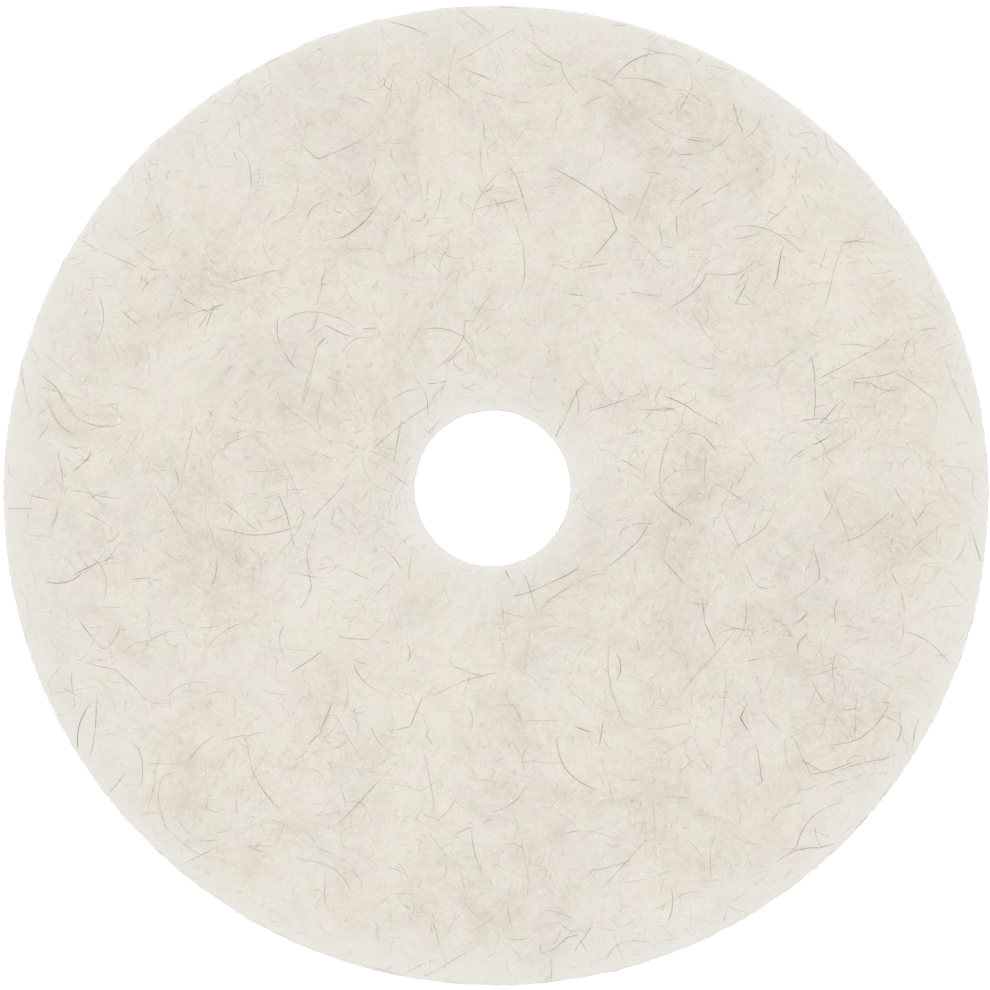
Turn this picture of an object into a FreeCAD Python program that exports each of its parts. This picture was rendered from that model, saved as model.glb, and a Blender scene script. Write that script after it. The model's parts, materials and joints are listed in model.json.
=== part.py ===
import FreeCAD, Part

import math
import os

# Reversible hair-blend polishing pad: a round, lofty, non-woven disc with a plain centre hole.
# It is a stack of laid fibre webs: a hair-rich face web on each side of a white core of several plies.
# Coarse dark hairs and finer tan hairs lie pressed into both faces, flush with them.
# Frame: origin on the centre hole's axis, halfway through the thickness. +Z runs up through the pad,
# which lies flat on its lower face.

# ---- driving dimensions, mm ----
pad_diameter = 508.0  # 20 inch rim die
pad_thickness = 25.4  # 1 inch loft, both face webs included
bore_diameter = 82.55  # 3 1/4 inch centre hole die
rim_centre_x = 1.8  # the rim die's stroke lands this far off the hole's axis
rim_centre_y = -3.6
face_web_thickness = 2.6
core_ply_count = 6
rim_round = 2.0  # radius that the rim die leaves on the edge of each face
bore_round = 1.2  # the same at the hole

dark_hair_width = 0.40
dark_hair_depth = 0.36
tan_hair_width = 0.30
tan_hair_depth = 0.28
longest_hair = 38.0
shortest_hair = 16.0
straightest_turn = 8.0  # degrees that a nearly straight hair turns from end to end
sharpest_turn = 85.0
hair_gap = 6.0  # least room between the longest hairs of two neighbouring cells
span_bulge = 0.12  # both sides of a hair are split into the same spans, each this near its chord
edge_margin = 4.0  # room between the hairs' cells and a rounded edge

# ---- worked-out sizes ----
rim_radius = pad_diameter / 2
bore_radius = bore_diameter / 2
top_z = pad_thickness / 2
bottom_z = -pad_thickness / 2
core_bottom_z = bottom_z + face_web_thickness
core_ply_thickness = (pad_thickness - 2 * face_web_thickness) / core_ply_count
rim_centre = FreeCAD.Vector(rim_centre_x, rim_centre_y, 0)
up = FreeCAD.Vector(0, 0, 1)
golden = (math.sqrt(5) - 1) / 2
same = 1e-6  # two lengths closer than this are the same


def circle_edges(shape, radius, z):
    """The full circles of that radius in the plane at height z."""
    found = []
    for edge in shape.Edges:
        if not isinstance(edge.Curve, Part.Circle):
            continue
        if abs(edge.Curve.Radius - radius) < same and abs(edge.Curve.Center.z - z) < same:
            found.append(edge)
    return found


def ply(z_low, thickness):
    """A flat ring of web: the rim's disc with the centre hole punched through it."""
    disc = Part.makeCylinder(rim_radius, thickness, rim_centre + up * z_low, up)
    punch = Part.makeCylinder(bore_radius, 3 * thickness, up * (z_low - thickness), up)
    return disc.cut(punch)


def face_web(z_low, outer_z):
    """A ply whose rim and hole are rounded where they meet the pad's face at outer_z."""
    web = ply(z_low, face_web_thickness)
    web = web.makeFillet(rim_round, circle_edges(web, rim_radius, outer_z))
    return web.makeFillet(bore_round, circle_edges(web, bore_radius, outer_z))


def share(index, seed):
    """A number from 0 to 1 that is spread evenly over the indices."""
    return (index * golden + seed * math.sqrt(2)) % 1.0


def hair(middle, heading, length, turn, width, depth, z_low):
    """One hair: a strip of rectangular section along an arc that turns by that many radians."""
    radius = length / turn
    bulge = FreeCAD.Vector(-math.sin(heading), math.cos(heading), 0)
    # the point halfway between the arc's own middle and its chord's lands on the cell's middle
    centre = middle - bulge * radius * (1 + math.cos(turn / 2)) / 2
    centre.z = z_low

    def at(distance, angle):
        direction = heading + math.pi / 2 + angle
        return centre + FreeCAD.Vector(math.cos(direction), math.sin(direction), 0) * distance

    span_count = math.ceil(turn / (2 * math.acos(1 - span_bulge / radius)))
    stops = [turn * (step / span_count - 0.5) for step in range(span_count + 1)]

    def side(distance, angles):
        for start, end in zip(angles, angles[1:]):
            yield Part.Arc(at(distance, start), at(distance, (start + end) / 2), at(distance, end)).toShape()

    def cut_end(angle):
        return Part.LineSegment(at(inside, angle), at(outside, angle)).toShape()

    inside = radius - width / 2
    outside = radius + width / 2
    outline = [*side(inside, stops), cut_end(stops[-1]), *side(outside, stops[::-1]), cut_end(stops[0])]
    return Part.Face(Part.Wire(outline)).extrude(up * depth)


def hair_cells():
    """Middles of cells as wide as the longest hair, in rings from the hole out to the rim."""
    cell = longest_hair + hair_gap
    off_centre = math.hypot(rim_centre_x, rim_centre_y)
    innermost = bore_radius + off_centre + bore_round + edge_margin
    outermost = rim_radius - rim_round - edge_margin
    ring_count = int((outermost - innermost) // cell)
    ring_pitch = (outermost - innermost) / ring_count
    middles = []
    for ring in range(ring_count):
        radius = innermost + (ring + 0.5) * ring_pitch
        in_ring = int(2 * math.pi * radius // cell)
        for place in range(in_ring):
            angle = 2 * math.pi * (place + share(ring, 1)) / in_ring
            ray = FreeCAD.Vector(math.cos(angle), math.sin(angle), 0)
            middles.append(rim_centre + ray * radius)
    return middles


def hairs(first_cell, width, depth, outer_z, seed):
    """The hairs of every second cell, flush with the face at outer_z and pressed into its web."""
    z_low = outer_z - depth if outer_z > 0 else outer_z
    cells = hair_cells()
    made = []
    for index in range(first_cell, len(cells), 2):
        heading = 2 * math.pi * share(index, seed)
        length = shortest_hair + (longest_hair - shortest_hair) * share(index, seed + 2)
        turn = straightest_turn + (sharpest_turn - straightest_turn) * share(index * index, seed + 3)
        made.append(hair(cells[index], heading, length, math.radians(turn), width, depth, z_low))
    return made


def save(node, shape):
    """Writes one node and says what it holds."""
    shape.exportStep("parts/" + node + ".step")
    count = len(shape.Solids)
    print(f"{node}: {count} solid(s), {shape.Volume / 1000:.2f} cm3, valid {shape.isValid()}")


os.makedirs("parts", exist_ok=True)

top_dark = hairs(0, dark_hair_width, dark_hair_depth, top_z, 1)
top_tan = hairs(1, tan_hair_width, tan_hair_depth, top_z, 5)
bottom_dark = hairs(1, dark_hair_width, dark_hair_depth, bottom_z, 7)
bottom_tan = hairs(0, tan_hair_width, tan_hair_depth, bottom_z, 11)

# each hair's groove is cut with the hair itself, so that hair and web share no space
top_web = face_web(top_z - face_web_thickness, top_z).cut(top_dark + top_tan)
bottom_web = face_web(bottom_z, bottom_z).cut(bottom_dark + bottom_tan)

save("top_face_web", top_web)
save("bottom_face_web", bottom_web)

for number in range(1, core_ply_count + 1):
    ply_z = core_bottom_z + (number - 1) * core_ply_thickness
    save(f"core_ply_{number}", ply(ply_z, core_ply_thickness))

save("top_dark_hairs", Part.makeCompound(top_dark))
save("top_tan_hairs", Part.makeCompound(top_tan))
save("bottom_dark_hairs", Part.makeCompound(bottom_dark))
save("bottom_tan_hairs", Part.makeCompound(bottom_tan))
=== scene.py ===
import json
import math

import bmesh
import bpy
import numpy as np
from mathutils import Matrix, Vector, noise


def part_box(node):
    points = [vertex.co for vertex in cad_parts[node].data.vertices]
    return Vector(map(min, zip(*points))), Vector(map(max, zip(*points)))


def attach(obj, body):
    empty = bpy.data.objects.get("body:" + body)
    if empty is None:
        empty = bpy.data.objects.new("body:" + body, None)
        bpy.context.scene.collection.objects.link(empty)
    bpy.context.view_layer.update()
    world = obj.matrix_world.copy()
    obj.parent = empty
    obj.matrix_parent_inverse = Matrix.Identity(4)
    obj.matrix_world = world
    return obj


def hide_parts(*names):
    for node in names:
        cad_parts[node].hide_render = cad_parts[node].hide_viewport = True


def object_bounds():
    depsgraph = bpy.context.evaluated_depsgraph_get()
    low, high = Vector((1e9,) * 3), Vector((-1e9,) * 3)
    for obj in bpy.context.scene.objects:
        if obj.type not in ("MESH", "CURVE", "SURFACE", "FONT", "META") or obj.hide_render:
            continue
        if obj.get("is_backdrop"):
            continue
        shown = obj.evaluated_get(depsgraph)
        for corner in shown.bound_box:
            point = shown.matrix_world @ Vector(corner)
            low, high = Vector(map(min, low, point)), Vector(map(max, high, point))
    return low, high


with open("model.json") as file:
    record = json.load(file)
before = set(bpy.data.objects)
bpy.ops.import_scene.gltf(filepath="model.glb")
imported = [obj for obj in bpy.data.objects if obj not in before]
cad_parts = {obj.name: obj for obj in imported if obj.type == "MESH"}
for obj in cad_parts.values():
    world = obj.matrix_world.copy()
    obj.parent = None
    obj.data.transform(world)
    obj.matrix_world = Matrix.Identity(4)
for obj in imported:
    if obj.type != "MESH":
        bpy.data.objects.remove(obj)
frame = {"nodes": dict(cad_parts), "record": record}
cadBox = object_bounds()
mm = 0.001

# the pad's own sizes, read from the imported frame; all in metres
webLow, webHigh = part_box("top_face_web")
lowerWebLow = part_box("bottom_face_web")[0]
centreHole = next(m for m in frame["record"]["mounts"] if m["name"] == "centre_hole")
plyNodes = sorted(name for name in frame["nodes"] if name.startswith("core_ply_"))
rimCentre = Vector(((webLow.x + webHigh.x) / 2, (webLow.y + webHigh.y) / 2, 0))
holeCentre = Vector(centreHole["pos_m"])
rimRadius = (webHigh.x - webLow.x) / 2
holeRadius = centreHole["dims"]["r_mm"] * mm
print("frame: rim radius", round(rimRadius / mm, 2), "mm, hole radius", round(holeRadius / mm, 2), "mm")


def linear(hexColour):  # an sRGB hex value as the linear colour that a shader takes
    channels = [int(hexColour[start:start + 2], 16) / 255 for start in (1, 3, 5)]
    return [c / 12.92 if c <= 0.04045 else ((c + 0.055) / 1.055) ** 2.4 for c in channels] + [1.0]


def add(tree, kind, links=None, **settings):  # one node with its settings, its values and what feeds it
    node = tree.nodes.new(kind)
    for name, value in settings.items():
        setattr(node, name, value)
    for socket, value in (links or {}).items():
        if isinstance(value, bpy.types.NodeSocket):
            tree.links.new(value, node.inputs[socket])
        else:
            node.inputs[socket].default_value = value
    return node


def newMaterial(name):
    material = bpy.data.materials.new(name)
    material.use_nodes = True
    material.node_tree.nodes.clear()
    return material, material.node_tree


# Hair-blend felt: crimped white polyester carded with natural hair and bonded with a clear resin.
# Broken white to the eye, clouded with tan where hair gathers, and quite matt.
feltLook = {
    "cream": "#e8e3d9",
    "tan": "#cabfaf",
    "fleck": "#bfae98",
    "knot": "#fffdf8",
    "blush": "#e6d3ce",  # the faint pink and green, straw and grey that mixed hair gives the clouds
    "sage": "#d9e0ce",
    "straw": "#e5dfc4",
    "mist": "#dbd4d9",
    "white": "#e4e2dd",  # bare polyester, where hair is thin along the cut edges, and painted glow: the light that the white table throws through the thin edges
    "cloudSize": 62.0,  # mm, the broadest clouds
    "cloudContrast": 3.25,
    "cloudLean": 1.8,  # above 1, tan gathers in patches on a cream ground
    "hueSize": 16.0,
    "warmSize": 42.0,
    "hueRange": (0.4, 0.6),  # the part of the noise over which one tint turns into the other
    "hueStrength": 0.3,
    "fleckSize": 2.4,
    "fleckRange": (0.61, 0.71),  # only the peaks of the noise show as flecks
    "fleckStrength": 0.5,
    "fleckGather": 0.65,  # how much stronger a fleck is where hair gathers, and weaker where it is thin
    "knotSize": 0.9,
    "knotRange": (0.67, 0.73),
    "knotStrength": 1.0,
    "rimBareAndGlowBand": 13.0,  # mm from the rim within which the felt whitens, with painted glow as well as bare polyester
    "rimLean": 0.25,  # share by which that band is wider on its whiter side
    "whiterSide": (-0.6, -0.8, 0),
    "rimUneven": 0.6,  # share by which the band's width wanders
    "unevenSize": 45.0,
    # round the hole the whitening is painted glow as well as bare polyester
    "holeBareAndGlowBand": 10.0,
    "fibrePitch": 0.5,  # mm, far coarser than the real 0.04 mm fibre, so that it shows
    "bump": 0.25,
    "fibreDepth": 0.25,
}


def hairBlendFelt():
    look = feltLook
    material, tree = newMaterial("hairBlendFelt")
    coords = add(tree, "ShaderNodeTexCoord")
    placed = add(tree, "ShaderNodeMapping", {0: coords.outputs["Object"], 1: -rimCentre}).outputs[0]

    # clouds of hair, from hand-sized down to a fibre
    cloud = add(tree, "ShaderNodeTexNoise", {
        "Vector": placed, "Scale": 1 / (look["cloudSize"] * mm), "Detail": 9.0, "Roughness": 0.92,
        "Lacunarity": 2.0, "Distortion": 0.35,
    })
    cloudShare = add(tree, "ShaderNodeMapRange", {
        0: cloud.outputs[0], 1: 0.5 - 0.5 / look["cloudContrast"], 2: 0.5 + 0.5 / look["cloudContrast"],
    })
    patches = add(tree, "ShaderNodeMath", {
        0: cloudShare.outputs[0], 1: look["cloudLean"],
    }, operation="POWER")
    felt = add(tree, "ShaderNodeMix", {
        0: patches.outputs[0], 6: linear(look["cream"]), 7: linear(look["tan"]),
    }, data_type="RGBA")

    # a drift between pink and green, and a broader one between straw and grey
    drifts = []
    for size, roughness, first, second, place in (
        (look["hueSize"], 0.7, look["blush"], look["sage"], 4.0),
        (look["warmSize"], 0.85, look["straw"], look["mist"], 9.0),
    ):
        drift = add(tree, "ShaderNodeTexNoise", {
            "Vector": placed, "Scale": 1 / (size * mm), "Detail": 5.0, "Roughness": roughness,
            "W": place,
        }, noise_dimensions="4D")
        hueLow, hueHigh = look["hueRange"]
        share = add(tree, "ShaderNodeMapRange", {0: drift.outputs[0], 1: hueLow, 2: hueHigh})
        drifts.append(add(tree, "ShaderNodeMix", {
            0: share.outputs[0], 6: linear(first), 7: linear(second),
        }, data_type="RGBA").outputs[2])
    hue = add(tree, "ShaderNodeMix", {0: 0.5, 6: drifts[0], 7: drifts[1]}, data_type="RGBA")
    tinted = add(tree, "ShaderNodeMix", {
        0: look["hueStrength"], 6: felt.outputs[2], 7: hue.outputs[2],
    }, data_type="RGBA")

    # flecks of short hair, most of them where hair has gathered, and small white knots of polyester
    fleck = add(tree, "ShaderNodeTexNoise", {
        "Vector": placed, "Scale": 1 / (look["fleckSize"] * mm), "Detail": 3.0, "Roughness": 0.65,
        "Distortion": 1.2,
    })
    fleckMost = add(tree, "ShaderNodeMapRange", {
        0: cloudShare.outputs[0],
        3: (1 - look["fleckGather"]) * look["fleckStrength"],
        4: (1 + look["fleckGather"]) * look["fleckStrength"],
    })
    fleckLow, fleckHigh = look["fleckRange"]
    fleckShare = add(tree, "ShaderNodeMapRange", {
        0: fleck.outputs[0], 1: fleckLow, 2: fleckHigh, 3: 0.0, 4: fleckMost.outputs[0],
    })
    hairFlecked = add(tree, "ShaderNodeMix", {
        0: fleckShare.outputs[0], 6: tinted.outputs[2], 7: linear(look["fleck"]),
    }, data_type="RGBA")
    knot = add(tree, "ShaderNodeTexNoise", {
        "Vector": placed, "Scale": 1 / (look["knotSize"] * mm), "Detail": 2.0, "Roughness": 0.6,
        "Distortion": 0.8,
    })
    knotLow, knotHigh = look["knotRange"]
    knotShare = add(tree, "ShaderNodeMapRange", {
        0: knot.outputs[0], 1: knotLow, 2: knotHigh, 3: 0.0, 4: look["knotStrength"],
    })
    flecked = add(tree, "ShaderNodeMix", {
        0: knotShare.outputs[0], 6: hairFlecked.outputs[2], 7: linear(look["knot"]),
    }, data_type="RGBA")

    # whiter towards the rim, most of all on one side, and round the hole: partly bare polyester and
    # partly painted glow of the light that the white table throws through the thin cut edges; over
    # each band's width the white falls to 1/e of itself
    fall = math.exp(-1)
    flat = add(tree, "ShaderNodeVectorMath", {0: placed, 1: (1, 1, 0)}, operation="MULTIPLY")
    fromRim = add(tree, "ShaderNodeVectorMath", {0: flat.outputs[0]}, operation="LENGTH")
    depth = add(tree, "ShaderNodeMath", {0: rimRadius, 1: fromRim.outputs[1]}, operation="SUBTRACT")
    lean = add(tree, "ShaderNodeVectorMath", {
        0: flat.outputs[0], 1: look["whiterSide"],
    }, operation="DOT_PRODUCT")
    rimBareAndGlowBand = look["rimBareAndGlowBand"] * mm
    leanWidth = add(tree, "ShaderNodeMapRange", {
        0: lean.outputs[1], 1: -rimRadius, 2: rimRadius,
        3: (1 - look["rimLean"]) * rimBareAndGlowBand, 4: (1 + look["rimLean"]) * rimBareAndGlowBand,
    })
    uneven = add(tree, "ShaderNodeTexNoise", {
        "Vector": placed, "Scale": 1 / (look["unevenSize"] * mm), "Detail": 4.0, "Roughness": 0.6,
    })
    unevenShare = add(tree, "ShaderNodeMapRange", {
        0: uneven.outputs[0], 1: 0.3, 2: 0.7, 3: 1 - look["rimUneven"], 4: 1 + look["rimUneven"],
    })
    rimWidth = add(tree, "ShaderNodeMath", {
        0: leanWidth.outputs[0], 1: unevenShare.outputs[0],
    }, operation="MULTIPLY")
    rimFade = add(tree, "ShaderNodeMath", {0: depth.outputs[0], 1: rimWidth.outputs[0]}, operation="DIVIDE")
    rimWhiteAndGlow = add(tree, "ShaderNodeMath", {0: fall, 1: rimFade.outputs[0]}, operation="POWER")
    fromHole = add(tree, "ShaderNodeVectorMath", {
        0: flat.outputs[0], 1: rimCentre - holeCentre,
    }, operation="ADD")
    holeDistance = add(tree, "ShaderNodeVectorMath", {0: fromHole.outputs[0]}, operation="LENGTH")
    holeFade = add(tree, "ShaderNodeMapRange", {
        0: holeDistance.outputs[1], 1: holeRadius, 2: holeRadius + look["holeBareAndGlowBand"] * mm, 3: 0.0, 4: 1.0,
    }, clamp=False)
    holeWhiteAndGlow = add(tree, "ShaderNodeMath", {0: fall, 1: holeFade.outputs[0]}, operation="POWER")
    white = add(tree, "ShaderNodeMath", {
        0: rimWhiteAndGlow.outputs[0], 1: holeWhiteAndGlow.outputs[0],
    }, operation="ADD", use_clamp=True)
    colour = add(tree, "ShaderNodeMix", {
        0: white.outputs[0], 6: flecked.outputs[2], 7: linear(look["white"]),
    }, data_type="RGBA")

    # the felted relief: fibres lying over each other
    fibre = add(tree, "ShaderNodeTexNoise", {
        "Vector": placed, "Scale": 1 / (look["fibrePitch"] * mm), "Detail": 2.0, "Roughness": 0.6,
        "Distortion": 1.5,
    })
    bump = add(tree, "ShaderNodeBump", {
        "Strength": look["bump"], "Distance": look["fibreDepth"] * mm, "Height": fibre.outputs[0],
    })
    shader = add(tree, "ShaderNodeBsdfPrincipled", {
        "Base Color": colour.outputs[2], "Roughness": 0.95, "IOR": 1.45, "Specular IOR Level": 0.2,
        "Sheen Weight": 0.15, "Sheen Roughness": 0.6, "Normal": bump.outputs[0],
    })
    add(tree, "ShaderNodeOutputMaterial", {0: shader.outputs[0]})
    return material


# Core web: the same crimped polyester with hardly any hair, white and open.
coreLook = {
    "white": "#e7e6e1",
    "shade": "#d4d0c6",
    "strataPitch": 1.1,  # mm, the layers that the carding machine lays
    "strataRange": (0.4, 0.75),
    "stretch": 4.0,  # how much longer the pattern is along the web than through it
    "fibrePitch": 0.45,  # mm, again coarser than the real fibre
    "bump": 0.5,
    "fibreDepth": 0.4,
}


def whiteCoreWeb():
    look = coreLook
    material, tree = newMaterial("whiteCoreWeb")
    coords = add(tree, "ShaderNodeTexCoord")
    # stretched along the web, so that the pattern lies in layers on a cut wall
    along = 1 / look["stretch"]
    layered = add(tree, "ShaderNodeMapping", {0: coords.outputs["Object"], 3: (along, along, 1.0)})
    strata = add(tree, "ShaderNodeTexNoise", {
        "Vector": layered.outputs[0], "Scale": 1 / (look["strataPitch"] * mm), "Detail": 5.0,
        "Roughness": 0.65,
    })
    strataLow, strataHigh = look["strataRange"]
    share = add(tree, "ShaderNodeMapRange", {0: strata.outputs[0], 1: strataLow, 2: strataHigh})
    colour = add(tree, "ShaderNodeMix", {
        0: share.outputs[0], 6: linear(look["white"]), 7: linear(look["shade"]),
    }, data_type="RGBA")
    fibre = add(tree, "ShaderNodeTexNoise", {
        "Vector": layered.outputs[0], "Scale": 1 / (look["fibrePitch"] * mm), "Detail": 3.0,
        "Distortion": 1.0,
    })
    bump = add(tree, "ShaderNodeBump", {
        "Strength": look["bump"], "Distance": look["fibreDepth"] * mm, "Height": fibre.outputs[0],
    })
    shader = add(tree, "ShaderNodeBsdfPrincipled", {
        "Base Color": colour.outputs[2], "Roughness": 0.95, "IOR": 1.45, "Specular IOR Level": 0.2,
        "Sheen Weight": 0.15, "Sheen Roughness": 0.6, "Normal": bump.outputs[0],
    })
    add(tree, "ShaderNodeOutputMaterial", {0: shader.outputs[0]})
    return material


def naturalHair(name, darkest, lightest, veil, roughness):
    # Animal hair, scoured and undyed: a satin strand that pale fibres cross and half hide.
    material, tree = newMaterial(name)
    tone = add(tree, "ShaderNodeAttribute", attribute_name="tone")
    hidden = add(tree, "ShaderNodeAttribute", attribute_name="hidden")
    strand = add(tree, "ShaderNodeMix", {
        0: tone.outputs["Fac"], 6: linear(darkest), 7: linear(lightest),
    }, data_type="RGBA")
    veiled = add(tree, "ShaderNodeMix", {
        0: hidden.outputs["Fac"], 6: strand.outputs[2], 7: linear(veil),
    }, data_type="RGBA")
    shader = add(tree, "ShaderNodeBsdfPrincipled", {
        "Base Color": veiled.outputs[2], "Roughness": roughness, "IOR": 1.55, "Specular IOR Level": 0.3,
    })
    add(tree, "ShaderNodeOutputMaterial", {0: shader.outputs[0]})
    return material


felt = hairBlendFelt()
core = whiteCoreWeb()
# darkest and lightest strand, the pale fibres that veil it, and how rough it is
darkHair = naturalHair("darkBrownHair", "#63503b", "#9b8a73", "#dcd5c9", 0.5)
tanHair = naturalHair("tanHair", "#9c866a", "#c8b69c", "#ded7cb", 0.55)
underfur = naturalHair("paleUnderfur", "#bdb09e", "#d9cfc2", "#e1dace", 0.6)
whiteFibre = naturalHair("crimpedPolyester", "#efebe2", "#fffdf8", "#ece8df", 0.6)
paleFibre = naturalHair("cutPolyester", "#e3dfd5", "#f6f4ef", "#e8e4db", 0.6)
print("materials made")


# The rim isn't a true circle: the web gives a little as the die cuts it.
rimShape = {
    "stretch": 0.0027,  # share by which it is wider along X and narrower along Y
    "wobble": 0.22,  # mm
    "wobbleSize": 16.0,
    "seed": 3.0,
}


def rimAt(angle):
    oval = rimRadius * (1 + rimShape["stretch"] * math.cos(2 * angle))
    reach = rimRadius / (rimShape["wobbleSize"] * mm)
    wobble = noise.noise((math.cos(angle) * reach, math.sin(angle) * reach, rimShape["seed"]))
    return oval + wobble * rimShape["wobble"] * mm


def ring(share, inset, height, count):
    # a ring of points: share 0 is the wall of the hole and 1 is the rim, and inset goes from there
    # into the felt
    centre = holeCentre.lerp(rimCentre, share)
    outwards = {0: inset, 1: -inset}.get(share, 0)
    points = []
    for step in range(count):
        angle = 2 * math.pi * step / count
        outer = rimAt(angle)
        radius = holeRadius + (outer - holeRadius) * share + outwards
        points.append((centre.x + radius * math.cos(angle), centre.y + radius * math.sin(angle), height))
    return points


def bridge(first, second):  # the faces between two rings of vertex numbers, whose counts may differ
    faces = []
    if len(first) == len(second):
        for i in range(len(first)):
            following = (i + 1) % len(first)
            faces.append((first[i], first[following], second[following], second[i]))
        return faces
    a, b = 0, 0
    while a < len(first) or b < len(second):
        if b == len(second) or (a < len(first) and (a + 1) * len(second) <= (b + 1) * len(first)):
            faces.append((first[a], first[(a + 1) % len(first)], second[b % len(second)]))
            a += 1
        else:
            faces.append((first[a % len(first)], second[(b + 1) % len(second)], second[b]))
            b += 1
    return faces


def shell(name, rings, material):  # a closed skin over rings that go once round the section
    points, numbers = [], []
    for made in rings:
        numbers.append(list(range(len(points), len(points) + len(made))))
        points.extend(made)
    faces = []
    for here, there in zip(numbers, numbers[1:] + numbers[:1]):
        faces.extend(bridge(here, there))
    mesh = bpy.data.meshes.new(name)
    mesh.from_pydata(points, [], faces)
    work = bmesh.new()
    work.from_mesh(mesh)
    bmesh.ops.recalc_face_normals(work, faces=work.faces)
    work.to_mesh(mesh)
    work.free()
    mesh.shade_smooth()
    mesh.materials.append(material)
    piece = bpy.data.objects.new(name, mesh)
    bpy.context.scene.collection.objects.link(piece)
    return piece


def vertexArray(mesh, what):
    values = np.zeros(len(mesh.vertices) * 3, np.float32)
    if what == "co":
        mesh.vertices.foreach_get("co", values)
    else:
        mesh.vertex_normals.foreach_get("vector", values)
    return values.reshape(-1, 3).astype(float)


def ruffle(piece, weights, layers, seed):
    # pushes the skin in and out along its normals: layers are (size, height) in mm
    mesh = piece.data
    places, normals = vertexArray(mesh, "co"), vertexArray(mesh, "normal")
    for size, height in layers:
        for number in np.nonzero(weights > 0)[0]:
            value = noise.noise(Vector(places[number] / (size * mm)) + Vector((seed, 0, 0)))
            places[number] += normals[number] * value * height * mm * weights[number]
    mesh.vertices.foreach_set("co", places.astype(np.float32).ravel())
    mesh.update()


wallTilt = 0.6  # a normal that points less upwards than this belongs to a cut wall
faceTilt = 0.8  # and one that points more upwards than this belongs to the open face


def markAreas(piece, side):
    # where fibres may lie: the open face, the cut rim and the wall of the hole
    mesh = piece.data
    places, normals = vertexArray(mesh, "co"), vertexArray(mesh, "normal")
    fromHole = np.hypot(places[:, 0] - holeCentre.x, places[:, 1] - holeCentre.y)
    face = normals[:, 2] * side > faceTilt
    wall = abs(normals[:, 2]) < wallTilt
    hole = wall & (fromHole < holeRadius + 3 * mm)  # nothing but the hole's wall is that near to it
    for name, marked in (("openFace", face), ("rimWall", wall & ~hole), ("holeWall", hole)):
        mesh.attributes.new(name, "FLOAT", "POINT").data.foreach_set("value", marked.astype(np.float32))


# Face webs: the hair-blend felt on each side, with edges that the die has rounded.
faceWeb = {
    "grid": 1.7,  # mm between the points of the open face
    "holeGrid": 1.1,
    "hiddenGrid": 5.0,  # on the hidden side at the rim, and more towards the hole
    "hiddenSpread": 10.0,
    "hiddenRows": (0.97, 0.9, 0.75, 0.5, 0.25, 0.1),
    "rimRound": 2.0,
    "holeRound": 0.7,
    "rimSteps": 6,
    "holeSteps": 4,
    "springBack": {1: 1.0, -1: 0.6},  # how far the upper and the lower web close in over the hole
    "layers": [(38.0, 0.35), (11.0, 0.22), (4.2, 0.16)],
    "wallLayers": [(9.0, 0.35), (2.6, 0.35)],
}


def around(radius, step):  # how many points go round a circle, a step in mm apart
    return round(2 * math.pi * radius / (step * mm))


def buildFaceWeb(name, node, side, seed):
    size = faceWeb
    low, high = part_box(node)
    outer, inner = (high.z, low.z) if side > 0 else (low.z, high.z)
    width = rimRadius - holeRadius
    rimCount, holeCount = around(rimRadius, size["grid"]), around(holeRadius, size["holeGrid"])
    rimRound, holeRound = size["rimRound"] * mm, size["holeRound"] * mm
    springBack = size["springBack"][side] * mm
    rows = []
    for rise in (0.0, 0.5):  # the wall of the hole, from the core up to where the rounding starts
        height = inner + side * rise * (abs(outer - inner) - holeRound)
        rows.append((0, -springBack, height, holeCount))
    for step in range(size["holeSteps"] + 1):
        turn = math.pi / 2 / size["holeSteps"] * step
        inset = holeRound * (1 - math.cos(turn)) - springBack
        rows.append((0, inset, outer - side * holeRound * (1 - math.sin(turn)), holeCount))
    across = round(width / (size["grid"] * mm))
    for step in range(1, across):
        share = step / across
        radius = holeRadius + width * share
        if holeRound < radius - holeRadius and radius < rimRadius - rimRound:
            rows.append((share, 0.0, outer, around(radius, size["grid"])))
    for step in range(size["rimSteps"] + 1):
        turn = math.pi / 2 / size["rimSteps"] * (size["rimSteps"] - step)
        inset = rimRound * (1 - math.cos(turn))
        rows.append((1, inset, outer - side * rimRound * (1 - math.sin(turn)), rimCount))
    rows.append((1, 0.0, inner, rimCount))
    for share in size["hiddenRows"]:  # the hidden side, which lies on the core
        spacing = size["hiddenGrid"] + size["hiddenSpread"] * (1 - share)
        rows.append((share, 0.0, inner, around(holeRadius + width * share, spacing)))
    piece = shell(name, [ring(*row) for row in rows], felt)
    heights = vertexArray(piece.data, "co")[:, 2]
    normals = vertexArray(piece.data, "normal")
    hidden = abs(heights - inner) < 0.01 * mm  # flat against the core
    walls = (abs(normals[:, 2]) < wallTilt) & ~hidden
    ruffle(piece, (~hidden & ~walls).astype(float), size["layers"], seed)
    ruffle(piece, walls.astype(float), size["wallLayers"], seed + 50)  # its own stretch of the noise
    markAreas(piece, side)
    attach(piece, "root")
    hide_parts(node)
    return piece


topWeb = buildFaceWeb("upper_face_felt", "top_face_web", 1, 11.0)
bottomWeb = buildFaceWeb("lower_face_felt", "bottom_face_web", -1, 37.0)
print("face webs:", len(topWeb.data.polygons), "and", len(bottomWeb.data.polygons), "faces")

# Core plies: white web, each cut a hair's breadth larger or smaller than the next.
corePly = {
    "step": 1.3,  # mm round the rim
    "edgeRound": 0.36,
    "rows": 6,
    "hiddenRows": (0.94, 0.6, 0.3),
    "wallTilt": 0.7,
    "spread": 0.18,  # how far a ply's cut edge stands in or out from the mean
    "spreadTurn": 2.4,  # radians of a sine from one ply to the next, so that no two stand alike
    "spreadStart": 0.7,
    "layers": [(14.0, 0.5), (5.0, 0.55), (1.9, 0.4)],
}


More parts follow.
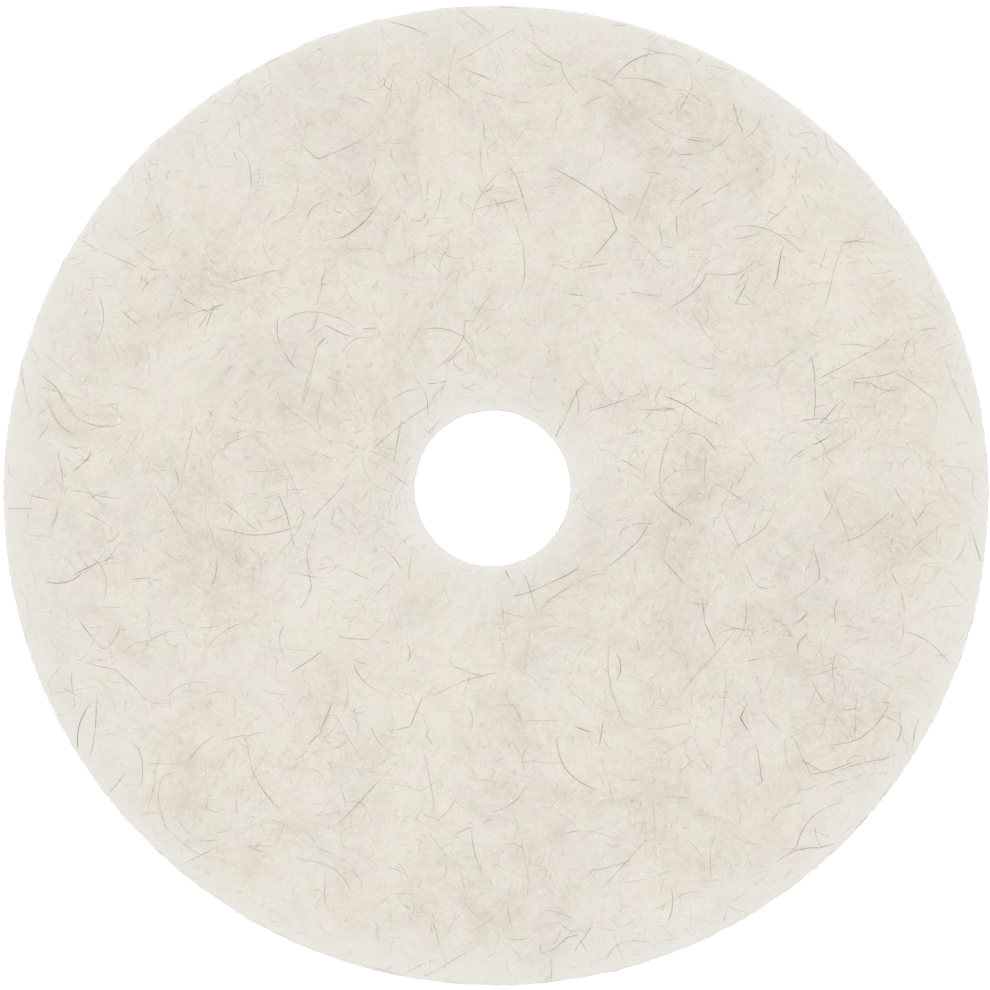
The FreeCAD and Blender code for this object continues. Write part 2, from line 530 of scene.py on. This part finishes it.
def buildPly(number, node):
    size = corePly
    low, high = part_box(node)
    middle, half = (low.z + high.z) / 2, (high.z - low.z) / 2
    stand = size["spread"] * mm * math.sin(size["spreadTurn"] * number + size["spreadStart"])
    rimCount, holeCount = around(rimRadius, size["step"]), around(holeRadius, size["step"])
    profile = []
    for row in range(size["rows"] + 1):
        turn = math.pi * (row / size["rows"] - 0.5)
        inset = size["edgeRound"] * mm * (1 - math.cos(turn)) ** 3 + stand
        profile.append((inset, middle + half * math.sin(turn)))
    hidden = [(share, int(rimCount * share / 2)) for share in size["hiddenRows"]]
    rows = [(1, inset, z, rimCount) for inset, z in profile]
    rows += [(share, 0.0, high.z, count) for share, count in hidden]
    rows += [(0, inset, z, holeCount) for inset, z in reversed(profile)]
    rows += [(share, 0.0, low.z, count) for share, count in reversed(hidden)]
    piece = shell(f"white_core_web_{number}", [ring(*row) for row in rows], core)
    normals = vertexArray(piece.data, "normal")
    ruffle(piece, (abs(normals[:, 2]) < size["wallTilt"]).astype(float), size["layers"], 5.0 * number)
    markAreas(piece, 0)
    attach(piece, "root")
    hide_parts(node)
    return piece


plies = [buildPly(number, node) for number, node in enumerate(plyNodes, 1)]
print("core plies:", len(plies), "with", sum(len(p.data.polygons) for p in plies), "faces")


strandShape = {
    "sides": 3,
    "hookPower": 5.0,  # a hook keeps to the last part of the strand
    "dives": 2.2,  # how much of the noise a strand runs through as it dives and surfaces
    "lanes": 400.0,  # the strands' tracks through that noise lie this far apart at most
    "diveRange": (0.3, 0.7),
    "veilRange": (0.35, 0.6),
    "thickest": 0.5,  # radius in the middle, as a share of the width
    "finest": 0.22,  # and at the ends
    "seedStep": 17.0,
}


def fibreTree():
    # Lays fibres on a felt skin: points on it, each drawn out into a bent strand that follows the skin
    tree = bpy.data.node_groups.new("layFibres", "GeometryNodeTree")
    sockets = {
        "Felt": "NodeSocketCollection", "Area": "NodeSocketString", "Across": "NodeSocketVector",
        "Per square metre": "NodeSocketFloat", "Clump size": "NodeSocketFloat",
        "Clumping": "NodeSocketFloat", "Points": "NodeSocketInt",
        "Shortest": "NodeSocketFloat", "Longest": "NodeSocketFloat", "Length bias": "NodeSocketFloat",
        "Spread": "NodeSocketFloat", "Bend": "NodeSocketFloat", "Wave": "NodeSocketFloat",
        "Waves": "NodeSocketFloat", "Hook": "NodeSocketFloat", "Kink": "NodeSocketFloat",
        "Thinnest": "NodeSocketFloat", "Thickest": "NodeSocketFloat",
        "Lowest": "NodeSocketFloat", "Highest": "NodeSocketFloat", "Rise": "NodeSocketFloat",
        "Veil": "NodeSocketFloat", "Rim limit": "NodeSocketFloat", "Hole limit": "NodeSocketFloat",
        "Rim centre": "NodeSocketVector", "Hole centre": "NodeSocketVector",
        "Seed": "NodeSocketInt", "Material": "NodeSocketMaterial",
    }
    tree.interface.new_socket("Geometry", in_out="INPUT", socket_type="NodeSocketGeometry")
    for name, kind in sockets.items():
        tree.interface.new_socket(name, in_out="INPUT", socket_type=kind)
    tree.interface.new_socket("Geometry", in_out="OUTPUT", socket_type="NodeSocketGeometry")
    given = add(tree, "NodeGroupInput").outputs

    pieces = add(tree, "GeometryNodeCollectionInfo", {
        "Collection": given["Felt"],
    }, transform_space="ORIGINAL")
    skin = add(tree, "GeometryNodeRealizeInstances", {0: pieces.outputs[0]})
    area = add(tree, "GeometryNodeInputNamedAttribute", {"Name": given["Area"]}, data_type="FLOAT")
    place = add(tree, "GeometryNodeInputPosition")
    clumpScale = add(tree, "ShaderNodeMath", {0: 1.0, 1: given["Clump size"]}, operation="DIVIDE")
    clump = add(tree, "ShaderNodeTexNoise", {
        "Vector": place.outputs[0], "Scale": clumpScale.outputs[0], "Detail": 3.0, "W": given["Seed"],
    }, noise_dimensions="4D")
    thin = add(tree, "ShaderNodeMath", {0: 1.0, 1: given["Clumping"]}, operation="SUBTRACT")
    thick = add(tree, "ShaderNodeMath", {0: 1.0, 1: given["Clumping"]}, operation="ADD")
    clumpShare = add(tree, "ShaderNodeMapRange", {
        0: clump.outputs[0], 1: 0.35, 2: 0.65, 3: thin.outputs[0], 4: thick.outputs[0],
    })
    crowd = add(tree, "ShaderNodeMath", {
        0: clumpShare.outputs[0], 1: given["Per square metre"],
    }, operation="MULTIPLY")
    density = add(tree, "ShaderNodeMath", {0: crowd.outputs[0], 1: area.outputs[0]}, operation="MULTIPLY")
    roots = add(tree, "GeometryNodeDistributePointsOnFaces", {
        "Mesh": skin.outputs["Geometry"], "Density": density.outputs[0], "Seed": given["Seed"],
    }, distribute_method="RANDOM")

    named = add(tree, "GeometryNodeCaptureAttribute", domain="POINT")
    named.capture_items.new("INT", "strand")
    named.capture_items.new("VECTOR", "out")
    tree.links.new(roots.outputs["Points"], named.inputs[0])
    tree.links.new(add(tree, "GeometryNodeInputIndex").outputs[0], named.inputs[1])
    tree.links.new(roots.outputs["Normal"], named.inputs[2])
    strand, out = named.outputs[1], named.outputs[2]
    drawn = add(tree, "GeometryNodeDuplicateElements", {
        "Geometry": named.outputs[0], "Amount": given["Points"],
    }, domain="POINT")
    spans = add(tree, "ShaderNodeMath", {0: given["Points"], 1: 1.0}, operation="SUBTRACT")
    along = add(tree, "ShaderNodeMath", {
        0: drawn.outputs[1], 1: spans.outputs[0],
    }, operation="DIVIDE").outputs[0]

    chances = []
    for number in range(4):
        seedShift = strandShape["seedStep"] * number + 1
        seed = add(tree, "ShaderNodeMath", {0: given["Seed"], 1: seedShift}, operation="ADD")
        chance = add(tree, "FunctionNodeRandomValue", {
            "ID": strand, "Seed": seed.outputs[0],
        }, data_type="FLOAT_VECTOR")
        chances += list(add(tree, "ShaderNodeSeparateXYZ", {0: chance.outputs[0]}).outputs)
    heading, lengthChance, bendChance, wavePhase, waveChance, hookChance = chances[:6]
    widthChance, tone, where, kinkChance, kinkPlace, depthChance = chances[6:]

    biased = add(tree, "ShaderNodeMath", {0: lengthChance, 1: given["Length bias"]}, operation="POWER")
    length = add(tree, "ShaderNodeMapRange", {
        0: biased.outputs[0], 3: given["Shortest"], 4: given["Longest"],
    })
    step = add(tree, "ShaderNodeMath", {0: length.outputs[0], 1: spans.outputs[0]}, operation="DIVIDE")

    # the strand's heading as it goes: a steady bend, a wave, a hook at its end, and a kink somewhere;
    # the chances are squared or cubed, so that most strands turn only a little
    start = add(tree, "ShaderNodeMapRange", {0: heading, 3: -1.0, 4: 1.0})
    startTurn = add(tree, "ShaderNodeMath", {0: start.outputs[0], 1: given["Spread"]}, operation="MULTIPLY")
    bendShare = add(tree, "ShaderNodeMapRange", {0: bendChance, 3: -1.0, 4: 1.0})
    bendHow = add(tree, "ShaderNodeMath", {0: bendShare.outputs[0]}, operation="ABSOLUTE")
    bendSkew = add(tree, "ShaderNodeMath", {
        0: bendShare.outputs[0], 1: bendHow.outputs[0],
    }, operation="MULTIPLY")
    bendSize = add(tree, "ShaderNodeMath", {0: bendSkew.outputs[0], 1: given["Bend"]}, operation="MULTIPLY")
    bent = add(tree, "ShaderNodeMath", {
        0: bendSize.outputs[0], 1: along, 2: startTurn.outputs[0],
    }, operation="MULTIPLY_ADD")
    cycles = add(tree, "ShaderNodeMath", {
        0: along, 1: given["Waves"], 2: wavePhase,
    }, operation="MULTIPLY_ADD")
    radians = add(tree, "ShaderNodeMath", {0: cycles.outputs[0], 1: 2 * math.pi}, operation="MULTIPLY")
    sine = add(tree, "ShaderNodeMath", {0: radians.outputs[0]}, operation="SINE")
    waveSize = add(tree, "ShaderNodeMath", {0: waveChance, 1: given["Wave"]}, operation="MULTIPLY")
    waved = add(tree, "ShaderNodeMath", {
        0: sine.outputs[0], 1: waveSize.outputs[0], 2: bent.outputs[0],
    }, operation="MULTIPLY_ADD")
    tip = add(tree, "ShaderNodeMath", {0: along, 1: strandShape["hookPower"]}, operation="POWER")
    hookShare = add(tree, "ShaderNodeMapRange", {0: hookChance, 3: -1.0, 4: 1.0})
    hookCubed = add(tree, "ShaderNodeMath", {0: hookShare.outputs[0], 1: 3.0}, operation="POWER")
    hookSize = add(tree, "ShaderNodeMath", {0: hookCubed.outputs[0], 1: given["Hook"]}, operation="MULTIPLY")
    turned = add(tree, "ShaderNodeMath", {
        0: tip.outputs[0], 1: hookSize.outputs[0], 2: waved.outputs[0],
    }, operation="MULTIPLY_ADD")
    kinkShare = add(tree, "ShaderNodeMapRange", {0: kinkChance, 3: -1.0, 4: 1.0})
    kinkCubed = add(tree, "ShaderNodeMath", {0: kinkShare.outputs[0], 1: 3.0}, operation="POWER")
    kinkSize = add(tree, "ShaderNodeMath", {0: kinkCubed.outputs[0], 1: given["Kink"]}, operation="MULTIPLY")
    pastKink = add(tree, "ShaderNodeMath", {0: along, 1: kinkPlace}, operation="GREATER_THAN")
    kinked = add(tree, "ShaderNodeMath", {
        0: pastKink.outputs[0], 1: kinkSize.outputs[0], 2: turned.outputs[0],
    }, operation="MULTIPLY_ADD")
    ahead = add(tree, "ShaderNodeMath", {0: kinked.outputs[0]}, operation="COSINE")
    aside = add(tree, "ShaderNodeMath", {0: kinked.outputs[0]}, operation="SINE")

    alongSkin = add(tree, "ShaderNodeVectorMath", {0: given["Across"], 1: out}, operation="CROSS_PRODUCT")
    first = add(tree, "ShaderNodeVectorMath", {0: alongSkin.outputs[0]}, operation="NORMALIZE")
    second = add(tree, "ShaderNodeVectorMath", {0: out, 1: first.outputs[0]}, operation="CROSS_PRODUCT")
    one = add(tree, "ShaderNodeVectorMath", {
        0: first.outputs[0], "Scale": ahead.outputs[0],
    }, operation="SCALE")
    two = add(tree, "ShaderNodeVectorMath", {
        0: second.outputs[0], "Scale": aside.outputs[0],
    }, operation="SCALE")
    direction = add(tree, "ShaderNodeVectorMath", {0: one.outputs[0], 1: two.outputs[0]}, operation="ADD")
    stride = add(tree, "ShaderNodeVectorMath", {
        0: direction.outputs[0], "Scale": step.outputs[0],
    }, operation="SCALE")
    walked = add(tree, "GeometryNodeAccumulateField", {
        0: stride.outputs[0], "Group ID": strand,
    }, data_type="FLOAT_VECTOR", domain="POINT")
    flat = add(tree, "ShaderNodeVectorMath", {
        0: place.outputs[0], 1: walked.outputs["Trailing"],
    }, operation="ADD")
    moved = add(tree, "GeometryNodeSetPosition", {"Geometry": drawn.outputs[0], "Position": flat.outputs[0]})

    # the die cuts a strand where it first crosses the rim or the hole
    level = add(tree, "ShaderNodeVectorMath", {0: place.outputs[0], 1: (1, 1, 0)}, operation="MULTIPLY")
    toRim = add(tree, "ShaderNodeVectorMath", {
        0: level.outputs[0], 1: given["Rim centre"],
    }, operation="DISTANCE")
    toHole = add(tree, "ShaderNodeVectorMath", {
        0: level.outputs[0], 1: given["Hole centre"],
    }, operation="DISTANCE")
    pastRim = add(tree, "ShaderNodeMath", {
        0: toRim.outputs[1], 1: given["Rim limit"],
    }, operation="GREATER_THAN")
    overHole = add(tree, "ShaderNodeMath", {
        0: toHole.outputs[1], 1: given["Hole limit"],
    }, operation="LESS_THAN")
    outside = add(tree, "ShaderNodeMath", {0: pastRim.outputs[0], 1: overHole.outputs[0]}, operation="ADD")
    crossings = add(tree, "GeometryNodeAccumulateField", {
        0: outside.outputs[0], "Group ID": strand,
    }, data_type="FLOAT", domain="POINT")
    severed = add(tree, "FunctionNodeCompare", {
        0: crossings.outputs["Leading"], 1: 0.5,
    }, data_type="FLOAT", operation="GREATER_THAN")
    cut = add(tree, "GeometryNodeDeleteGeometry", {
        "Geometry": moved.outputs[0], "Selection": severed.outputs[0],
    }, domain="POINT")

    # it follows the skin, and dives and surfaces along its length
    nearest = add(tree, "GeometryNodeProximity", {0: skin.outputs["Geometry"]}, target_element="FACES")
    drift = add(tree, "ShaderNodeMath", {0: along, 1: strandShape["dives"]}, operation="MULTIPLY")
    lane = add(tree, "ShaderNodeMath", {0: where, 1: strandShape["lanes"]}, operation="MULTIPLY")
    track = add(tree, "ShaderNodeCombineXYZ", {0: drift.outputs[0], 1: lane.outputs[0]})
    dive = add(tree, "ShaderNodeTexNoise", {
        "Vector": track.outputs[0], "Scale": 1.0, "Detail": 1.0,
    }, noise_dimensions="2D")
    diveLow, diveHigh = strandShape["diveRange"]
    lift = add(tree, "ShaderNodeMapRange", {
        0: dive.outputs[0], 1: diveLow, 2: diveHigh, 3: given["Lowest"], 4: given["Highest"],
    })
    rise = add(tree, "ShaderNodeMath", {
        0: along, 1: given["Rise"], 2: lift.outputs[0],
    }, operation="MULTIPLY_ADD")
    outward = add(tree, "ShaderNodeVectorMath", {0: out, "Scale": rise.outputs[0]}, operation="SCALE")
    onSkin = add(tree, "ShaderNodeVectorMath", {
        0: nearest.outputs[0], 1: outward.outputs[0],
    }, operation="ADD")
    laid = add(tree, "GeometryNodeSetPosition", {"Geometry": cut.outputs[0], "Position": onSkin.outputs[0]})

    # pale fibres veil it where it dives, and some strands all along
    leastVeil = add(tree, "ShaderNodeMath", {0: depthChance, 1: given["Veil"]}, operation="MULTIPLY")
    veilLow, veilHigh = strandShape["veilRange"]
    hidden = add(tree, "ShaderNodeMapRange", {
        0: dive.outputs[0], 1: veilLow, 2: veilHigh, 3: given["Veil"], 4: leastVeil.outputs[0],
    })
    toned = add(tree, "GeometryNodeStoreNamedAttribute", {
        "Geometry": laid.outputs[0], "Name": "tone", "Value": tone,
    }, data_type="FLOAT", domain="POINT")
    veiled = add(tree, "GeometryNodeStoreNamedAttribute", {
        "Geometry": toned.outputs[0], "Name": "hidden", "Value": hidden.outputs[0],
    }, data_type="FLOAT", domain="POINT")
    strands = add(tree, "GeometryNodePointsToCurves", {
        0: veiled.outputs[0], "Curve Group ID": strand, "Weight": along,
    })
    width = add(tree, "ShaderNodeMapRange", {0: widthChance, 3: given["Thinnest"], 4: given["Thickest"]})
    fromMiddle = add(tree, "ShaderNodeMapRange", {0: along, 3: -1.0, 4: 1.0})
    tipShare = add(tree, "ShaderNodeMath", {0: fromMiddle.outputs[0], 1: 4.0}, operation="POWER")
    taper = add(tree, "ShaderNodeMapRange", {
        0: tipShare.outputs[0], 3: strandShape["thickest"], 4: strandShape["finest"],
    })
    radius = add(tree, "ShaderNodeMath", {0: width.outputs[0], 1: taper.outputs[0]}, operation="MULTIPLY")
    section = add(tree, "GeometryNodeCurvePrimitiveCircle", {
        "Resolution": strandShape["sides"], "Radius": 1.0,
    }, mode="RADIUS")
    solid = add(tree, "GeometryNodeCurveToMesh", {
        "Curve": strands.outputs[0], "Profile Curve": section.outputs[0], "Scale": radius.outputs[0],
        "Fill Caps": True,
    })
    smooth = add(tree, "GeometryNodeSetShadeSmooth", {0: solid.outputs[0], "Shade Smooth": True})
    real = add(tree, "GeometryNodeRealizeInstances", {0: smooth.outputs[0]})
    painted = add(tree, "GeometryNodeSetMaterial", {0: real.outputs[0], "Material": given["Material"]})
    add(tree, "NodeGroupOutput", {0: painted.outputs[0]})
    return tree


layFibres = fibreTree()
faceArea = math.pi * (rimRadius ** 2 - holeRadius ** 2)

fibreDefaults = {
    "Area": "openFace", "Across": (0, 1, 0), "Clump size": 45 * mm, "Clumping": 0.0, "Points": 12,
    "Length bias": 1.0, "Spread": math.pi, "Bend": 1.0, "Wave": 0.0, "Waves": 1.0, "Hook": 0.0, "Kink": 0.0,
    "Lowest": 0.0, "Highest": 0.1 * mm, "Rise": 0.0, "Veil": 0.0,
    "Rim limit": rimRadius - 0.5 * mm, "Hole limit": holeRadius + 0.4 * mm,
    "Rim centre": rimCentre, "Hole centre": holeCentre,
}


def skinOf(name, pieces):  # the felt that fibres are laid on
    skin = bpy.data.collections.new(name)
    for piece in pieces:
        skin.objects.link(piece)
    return skin


upperSkin = skinOf("upperSkin", [topWeb])
lowerSkin = skinOf("lowerSkin", [bottomWeb])
cutSkin = skinOf("cutSkin", [topWeb, bottomWeb, *plies])


def lay(name, skin, settings, replaced=None):
    mesh = bpy.data.meshes.new(name)
    piece = bpy.data.objects.new(name, mesh)
    bpy.context.scene.collection.objects.link(piece)
    modifier = piece.modifiers.new("layFibres", "NODES")
    modifier.node_group = layFibres
    wanted = {**fibreDefaults, **settings, "Felt": skin}
    for item in layFibres.interface.items_tree:
        if item.in_out == "INPUT" and item.name in wanted:
            modifier[item.identifier] = wanted[item.name]
    evaluated = piece.evaluated_get(bpy.context.evaluated_depsgraph_get())
    plain = bpy.data.meshes.new_from_object(evaluated)
    piece.modifiers.clear()
    piece.data = plain
    plain.name = name
    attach(piece, "root")
    if replaced:
        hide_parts(replaced)
    print(name, sum(len(face.vertices) - 2 for face in plain.polygons), "triangles")


# a count over faceArea is about how many strands lie on each face
darkHairs = {
    "Per square metre": 285 / faceArea, "Clumping": 0.75, "Points": 13,
    "Shortest": 10 * mm, "Longest": 46 * mm, "Length bias": 1.2,
    "Bend": 1.6, "Wave": 0.15, "Hook": 0.8, "Kink": 1.2,
    "Thinnest": 0.18 * mm, "Thickest": 0.32 * mm, "Lowest": -0.11 * mm, "Highest": 0.14 * mm, "Veil": 0.75,
    "Material": darkHair,
}
tanHairs = {
    "Per square metre": 460 / faceArea, "Clumping": 1.0, "Points": 11,
    "Shortest": 5 * mm, "Longest": 40 * mm, "Length bias": 1.4,
    "Bend": 1.9, "Wave": 0.22, "Hook": 1.0, "Kink": 1.4,
    "Thinnest": 0.13 * mm, "Thickest": 0.25 * mm, "Lowest": -0.12 * mm, "Highest": 0.12 * mm, "Veil": 0.8,
    "Material": tanHair,
}
underfurHairs = {
    "Per square metre": 2000 / faceArea, "Clumping": 1.0, "Clump size": 38 * mm, "Points": 7,
    "Shortest": 3 * mm, "Longest": 17 * mm, "Length bias": 1.3, "Bend": 2.4, "Wave": 0.4, "Waves": 1.4,
    "Thinnest": 0.10 * mm, "Thickest": 0.19 * mm, "Lowest": -0.08 * mm, "Highest": 0.12 * mm, "Veil": 0.6,
    "Material": underfur,
}
paleFibres = {
    "Per square metre": 3200 / faceArea, "Points": 7,
    "Shortest": 2.5 * mm, "Longest": 13 * mm, "Length bias": 1.8, "Bend": 3.0, "Wave": 0.9, "Waves": 1.6,
    "Thinnest": 0.08 * mm, "Thickest": 0.36 * mm, "Lowest": -0.12 * mm, "Highest": 0.16 * mm,
    "Veil": 0.6, "Material": whiteFibre,
}
for half, skin, node, seed in (("upper", upperSkin, "top", 3), ("lower", lowerSkin, "bottom", 60)):
    lay(f"{half}_dark_hairs", skin, {**darkHairs, "Seed": seed}, f"{node}_dark_hairs")
    lay(f"{half}_tan_hairs", skin, {**tanHairs, "Seed": seed + 5}, f"{node}_tan_hairs")
    lay(f"{half}_underfur", skin, {**underfurHairs, "Seed": seed + 9})
    lay(f"{half}_pale_fibres", skin, {**paleFibres, "Seed": seed + 2})

# The cut walls: fibres lie along the layers, and short cut ends stand out all over. A count over
# wallArea is about how many lie on the whole rim, and the hole gets its share of them by its size.
# Nothing cuts these fibres, so their limits lie outside the pad.
wallArea = 2 * math.pi * rimRadius * (webHigh.z - lowerWebLow.z)
cutWall = {"Area": "rimWall", "Across": (0, 0, 1), "Rim limit": 2.0, "Hole limit": 0.0}
layeredFibres = {
    **cutWall, "Per square metre": 4400 / wallArea, "Points": 8, "Spread": 0.45,
    "Shortest": 3 * mm, "Longest": 14 * mm, "Bend": 1.6, "Wave": 0.8, "Waves": 1.8,
    "Thinnest": 0.11 * mm, "Thickest": 0.22 * mm, "Lowest": -0.06 * mm, "Highest": 0.4 * mm,
    "Material": paleFibre,
}
cutEnds = {
    **cutWall, "Per square metre": 5000 / wallArea, "Points": 5, "Spread": 1.6,
    "Shortest": 0.8 * mm, "Longest": 3.2 * mm, "Bend": 1.5, "Rise": 0.95 * mm,
    "Thinnest": 0.09 * mm, "Thickest": 0.17 * mm, "Lowest": -0.25 * mm, "Highest": 0.1 * mm,
    "Material": paleFibre,
}
cutHairs = {
    **cutWall, "Per square metre": 420 / wallArea, "Clumping": 0.6, "Points": 10, "Spread": 0.6,
    "Shortest": 3 * mm, "Longest": 24 * mm, "Length bias": 1.4, "Bend": 1.6, "Wave": 0.3,
    "Thinnest": 0.12 * mm, "Thickest": 0.24 * mm, "Lowest": -0.12 * mm, "Highest": 0.3 * mm,
    "Rise": 0.2 * mm, "Veil": 0.7, "Material": tanHair,
}
lay("rim_layered_fibres", cutSkin, {**layeredFibres, "Seed": 101})  # every lay has its own seed
lay("rim_cut_ends", cutSkin, {**cutEnds, "Seed": 102})
lay("rim_hairs", cutSkin, {**cutHairs, "Seed": 103})
inHole = {"Area": "holeWall", "Shortest": 1 * mm, "Longest": 7 * mm}
# the hole's fibres are whiter than the rim's: painted light that brightens the edge of the hole
holeFibres = {**layeredFibres, **inHole, "Material": whiteFibre}
holeEnds = {**cutEnds, "Area": "holeWall", "Rise": 0.6 * mm, "Material": whiteFibre}
holeHairs = {**cutHairs, **inHole, "Per square metre": 260 / wallArea}
lay("hole_layered_fibres", cutSkin, {**holeFibres, "Seed": 111})
lay("hole_cut_ends", cutSkin, {**holeEnds, "Seed": 112})
lay("hole_hairs", cutSkin, {**holeHairs, "Seed": 113})
for skin in (upperSkin, lowerSkin, cutSkin):
    bpy.data.collections.remove(skin)


studio = {
    "tableHalf": 9.0,  # metres
    "tableGlow": 0.6,
    "loft": 0.8,  # mm that the loose fibres of the lower face reach under the webs
    "roomLight": 0.76,
    "lamps": (  # name, where it stands, strength and how wide it shines in degrees
        ("key", Vector((-0.45, 0.5, 1.3)), 0.74, 45.0),
        ("fill", Vector((0.9, -0.4, 1.2)), 0.4, 80.0),
    ),
}


def floorAndLight():
    # a wide white table that lights the pad from below as well, so that hardly any shadow shows
    material, tree = newMaterial("whiteTable")
    shader = add(tree, "ShaderNodeBsdfPrincipled", {
        "Base Color": linear("#f7f7f7"), "Roughness": 0.9,
        "Emission Color": (1, 1, 1, 1), "Emission Strength": studio["tableGlow"],
    })
    add(tree, "ShaderNodeOutputMaterial", {0: shader.outputs[0]})
    half = studio["tableHalf"]
    bottom = lowerWebLow.z - studio["loft"] * mm
    corners = [(-half, -half, bottom), (half, -half, bottom), (half, half, bottom), (-half, half, bottom)]
    mesh = bpy.data.meshes.new("table")
    mesh.from_pydata(corners, [], [(0, 1, 2, 3)])
    mesh.materials.append(material)
    table = bpy.data.objects.new("table", mesh)
    bpy.context.scene.collection.objects.link(table)
    table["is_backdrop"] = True

    world = bpy.data.worlds.new("paleRoom")
    world.use_nodes = True
    background = world.node_tree.nodes["Background"]
    background.inputs["Color"].default_value = (1, 1, 1, 1)
    background.inputs["Strength"].default_value = studio["roomLight"]
    bpy.context.scene.world = world
    for name, direction, strength, spread in studio["lamps"]:
        lamp = bpy.data.lights.new(name, "SUN")
        lamp.energy = strength
        lamp.angle = math.radians(spread)
        light = bpy.data.objects.new(name, lamp)
        light.rotation_euler = direction.to_track_quat("Z", "Y").to_euler()
        bpy.context.scene.collection.objects.link(light)


view = {
    "distance": 3.6,  # metres above the upper face
    "frameWidth": 511.6,  # mm from side to side at the upper face
    "aside": -0.47,  # mm from the middle of the rim
    "up": 0.2,
    "sensor": 36.0,
}


def cameraAbove():
    # straight above the pad, with a long lens
    lens = bpy.data.cameras.new("camera")
    lens.sensor_width = view["sensor"]
    lens.lens = view["sensor"] * view["distance"] / (view["frameWidth"] * mm)
    lens.clip_end = 50.0  # far enough for the whole table
    camera = bpy.data.objects.new("camera", lens)
    height = webHigh.z + view["distance"]
    camera.location = rimCentre + Vector((view["aside"] * mm, view["up"] * mm, height))
    bpy.context.scene.collection.objects.link(camera)
    bpy.context.scene.camera = camera
    bpy.context.scene.view_settings.view_transform = "Standard"


floorAndLight()
cameraAbove()
print("floor, light and camera placed")

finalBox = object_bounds()
for boxName, box in (("cad", cadBox), ("visual", finalBox)):
    print(boxName, "box", [round(x / mm, 1) for corner in box for x in corner])
